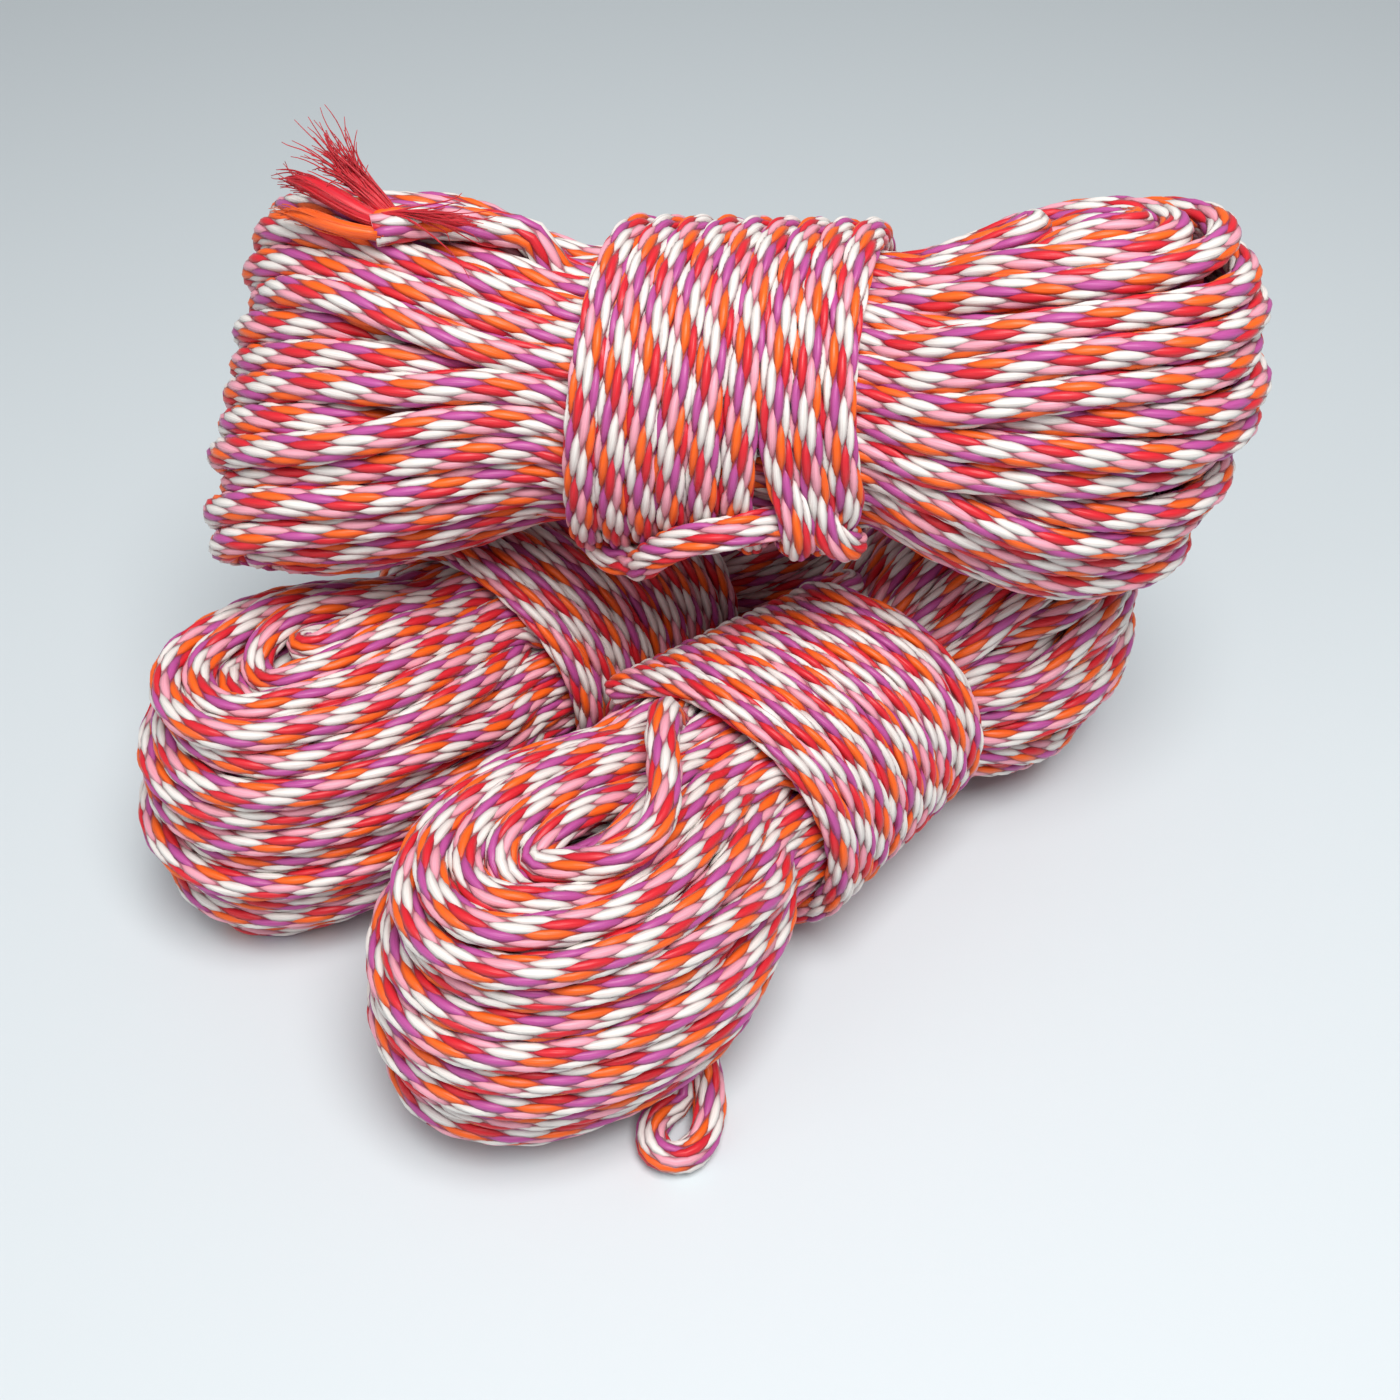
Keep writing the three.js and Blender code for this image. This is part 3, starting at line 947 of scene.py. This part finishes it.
def tubeRows(line, radius, sides):
    # tubes swept along many lines at once: lines are (tube, point, 3), radius is (tube, point)
    heading = np.gradient(line, axis=1)
    heading /= np.linalg.norm(heading, axis=2, keepdims=True)
    first = np.cross(heading, np.array(fray["aside"]))
    first /= np.linalg.norm(first, axis=2, keepdims=True)
    second = np.cross(heading, first)
    angle = 2 * math.pi * np.arange(sides) / sides
    ring = first[:, :, None] * np.cos(angle)[:, None] + second[:, :, None] * np.sin(angle)[:, None]
    return line[:, :, None] + ring * radius[:, :, None, None]


def closedTubes(lines, radii, sides, start):
    # the tubes' points, their faces and where each face's corners lie across and along the threads
    rows = tubeRows(lines, radii, sides)
    many, rings = rows.shape[:2]
    n, i, j = np.meshgrid(np.arange(many), np.arange(rings - 1), np.arange(sides), indexing="ij")
    n, i, j = n.ravel(), i.ravel(), j.ravel()
    at = start + (n * rings + i) * sides
    after = (j + 1) % sides
    faces = [np.stack([at + j, at + after, at + sides + after, at + sides + j], 1)]
    along = (i / fray["ringsPerWidth"], (i + 1) / fray["ringsPerWidth"])
    layout = [cornerGrid((n + j / sides, n + (j + 1) / sides), along)]
    for ring, way in ((0, -1), (rings - 1, 1)):
        rim = start + (np.arange(many)[:, None] * rings + ring) * sides + np.arange(sides)[None, ::way]
        faces.append(rim[:, capFaces[sides]].reshape(-1, 4))
        layout.append(np.zeros((len(faces[-1]), 4, 2)))
    return rows.reshape(-1, 3), np.concatenate(faces), np.concatenate(layout)


def yarnLines(yarnEnd, rng):
    # a tapered body and the loose threads round it, which part from it towards their tips: the lines,
    # radii and number of sides of each
    line = np.array(yarnEnd["line"]) + np.array(tail["route"][-1])
    knots = np.linspace(0, len(line) - 1, fray["rings"])
    spine = smoothCurve(line, knots)[0]
    width = np.interp(knots, np.arange(len(line)), yarnEnd["radius"])
    loose = yarnEnd["loose"]
    part = rng.normal(0, 1, (loose, 1, 3)) * yarnEnd["spread"]
    outward = rng.normal(0, 1, (loose, 1, 3))
    outward /= np.linalg.norm(outward, axis=2, keepdims=True)
    rooted = outward * rng.uniform(*fray["rooted"], (loose, 1, 1)) * width[None, :, None]
    opening = np.linspace(0, 1, len(spine))[None, :, None] ** fray["opening"]
    waves = rng.uniform(*fray["waves"], (loose, 1, 3))
    curl = fray["curl"] * np.sin(knots[None, :, None] * waves + rng.uniform(*fray["phases"], (loose, 1, 3)))
    threads = spine[None] + rooted + (part + curl) * opening
    stretch = rng.uniform(*fray["stretch"], (loose, 1, 1))
    threads = threads[:, :1] + (threads - threads[:, :1]) * stretch
    thin = fray["thread"] * np.sqrt(np.linspace(1, fray["tip"], len(spine)))
    return ((spine[None], width[None], fray["bodySides"]),
            (threads, np.broadcast_to(thin, threads.shape[:2]), fray["threadSides"]))


def frayedEnd(materials):
    # all the yarns as one piece, each face with the material of its yarn
    rng = np.random.default_rng(fray["seed"])
    points, faces, layout, slots = [], [], [], []
    start = 0
    for yarnEnd in fray["yarns"]:
        for lines, radii, sides in yarnLines(yarnEnd, rng):
            tubePoints, tubeFaces, tubeLayout = closedTubes(lines, radii, sides, start)
            points.append(tubePoints)
            faces.append(tubeFaces)
            layout.append(tubeLayout)
            slots.append(np.full(len(tubeFaces), list(materials).index(yarnEnd["color"])))
            start += len(tubePoints)
    faces = np.concatenate(faces)
    placed = placeHank("top_hank", hanks["top_hank"], np.concatenate(points))
    piece = meshPiece("top_hank_frayed_yarns", placed, faces.ravel(), np.full(len(faces), 4),
                      {"thread": np.concatenate(layout).reshape(-1, 2)})
    for material in materials.values():
        piece.data.materials.append(material)
    piece.data.polygons.foreach_set("material_index", np.concatenate(slots).astype(np.int32))
    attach(piece, "top_hank")
    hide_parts("top_hank_frayed_end")
    print("frayed end made,", len(faces), "faces")
    return piece


filaments = filamentGroup()
braidedYarn = braidMaterial(braidGroup(stitchColumnGroup()), filaments)
looseYarns = {name: looseMaterial("loose" + name, yarnColors[name], filaments) for name in ("Red", "Orange")}
print("materials made")

replaced = {
    "front_hank": {"loops": ["near_lobe", "far_lobe", "tail_bight"], "turns": ["wraps"]},
    "left_hank": {"loops": ["near_lobe", "far_lobe"], "turns": ["wraps"]},
    "top_hank": {"loops": ["near_lobe", "far_lobe", "tail"], "turns": ["wraps"]},
}


def addHank(name, hank):
    local, wraps = hankRoute(name, hank)
    place, first, second, along = ropeSections(local, int(np.argmax(wraps)))
    split = ropeParts["loops"]["rings"]
    for part, rings in (("loops", slice(0, split)), ("turns", slice(split - 1, None))):
        sections = (place[rings], first[rings], second[rings], along[rings])
        piece = ropeMesh(name + "_" + part, sections, ropeParts[part]["sides"],
                         lambda p: placeHank(name, hank, p))
        piece.data.materials.append(braidedYarn)
        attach(piece, name)
        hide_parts(*[name + "_" + node for node in replaced[name][part]])


frayedYarns = frayedEnd(looseYarns)
for name, hank in hanks.items():
    addHank(name, hank)

floor = {"size": 6.0, "color": (0.66, 0.71, 0.73, 1), "roughness": 0.6}


def addFloor():
    half = floor["size"] / 2
    mesh = bpy.data.meshes.new("floor")
    corners = [(-half, -half, 0), (half, -half, 0), (half, half, 0), (-half, half, 0)]
    mesh.from_pydata(corners, [], [(0, 1, 2, 3)])
    piece = bpy.data.objects.new("floor", mesh)
    bpy.context.collection.objects.link(piece)
    material = bpy.data.materials.new("paleFloor")
    material.use_nodes = True
    shader = material.node_tree.nodes["Principled BSDF"]
    shader.inputs["Base Color"].default_value = floor["color"]
    shader.inputs["Roughness"].default_value = floor["roughness"]
    mesh.materials.append(material)


lights = {
    "overhead": {"place": (0.12, -0.3, 0.85), "aim": (0, 0, 0.05), "size": 0.5, "power": 8.0},
    "fill": {"place": (-0.8, -0.6, 0.6), "aim": (0, 0, 0.05), "size": 0.9, "power": 2.0},
}
surround = {"color": (0.86, 0.90, 0.94, 1), "strength": 0.33}


def addLights():
    for name, light in lights.items():
        lamp = bpy.data.lights.new(name, "AREA")
        lamp.shape = "DISK"
        lamp.size = light["size"]
        lamp.energy = light["power"]
        holder = bpy.data.objects.new(name, lamp)
        holder.location = light["place"]
        toward = np.array(light["aim"]) - np.array(light["place"])
        down = math.atan2(math.hypot(toward[0], toward[1]), -toward[2])
        holder.rotation_euler = (down, 0, math.atan2(toward[1], toward[0]) - math.pi / 2)
        bpy.context.collection.objects.link(holder)
    world = bpy.data.worlds.new("surround")
    bpy.context.scene.world = world
    world.use_nodes = True
    back = world.node_tree.nodes["Background"]
    back.inputs[0].default_value = surround["color"]
    back.inputs[1].default_value = surround["strength"]


addFloor()
addLights()
bpy.context.scene.view_settings.view_transform = "Standard"
print("floor and lights placed")
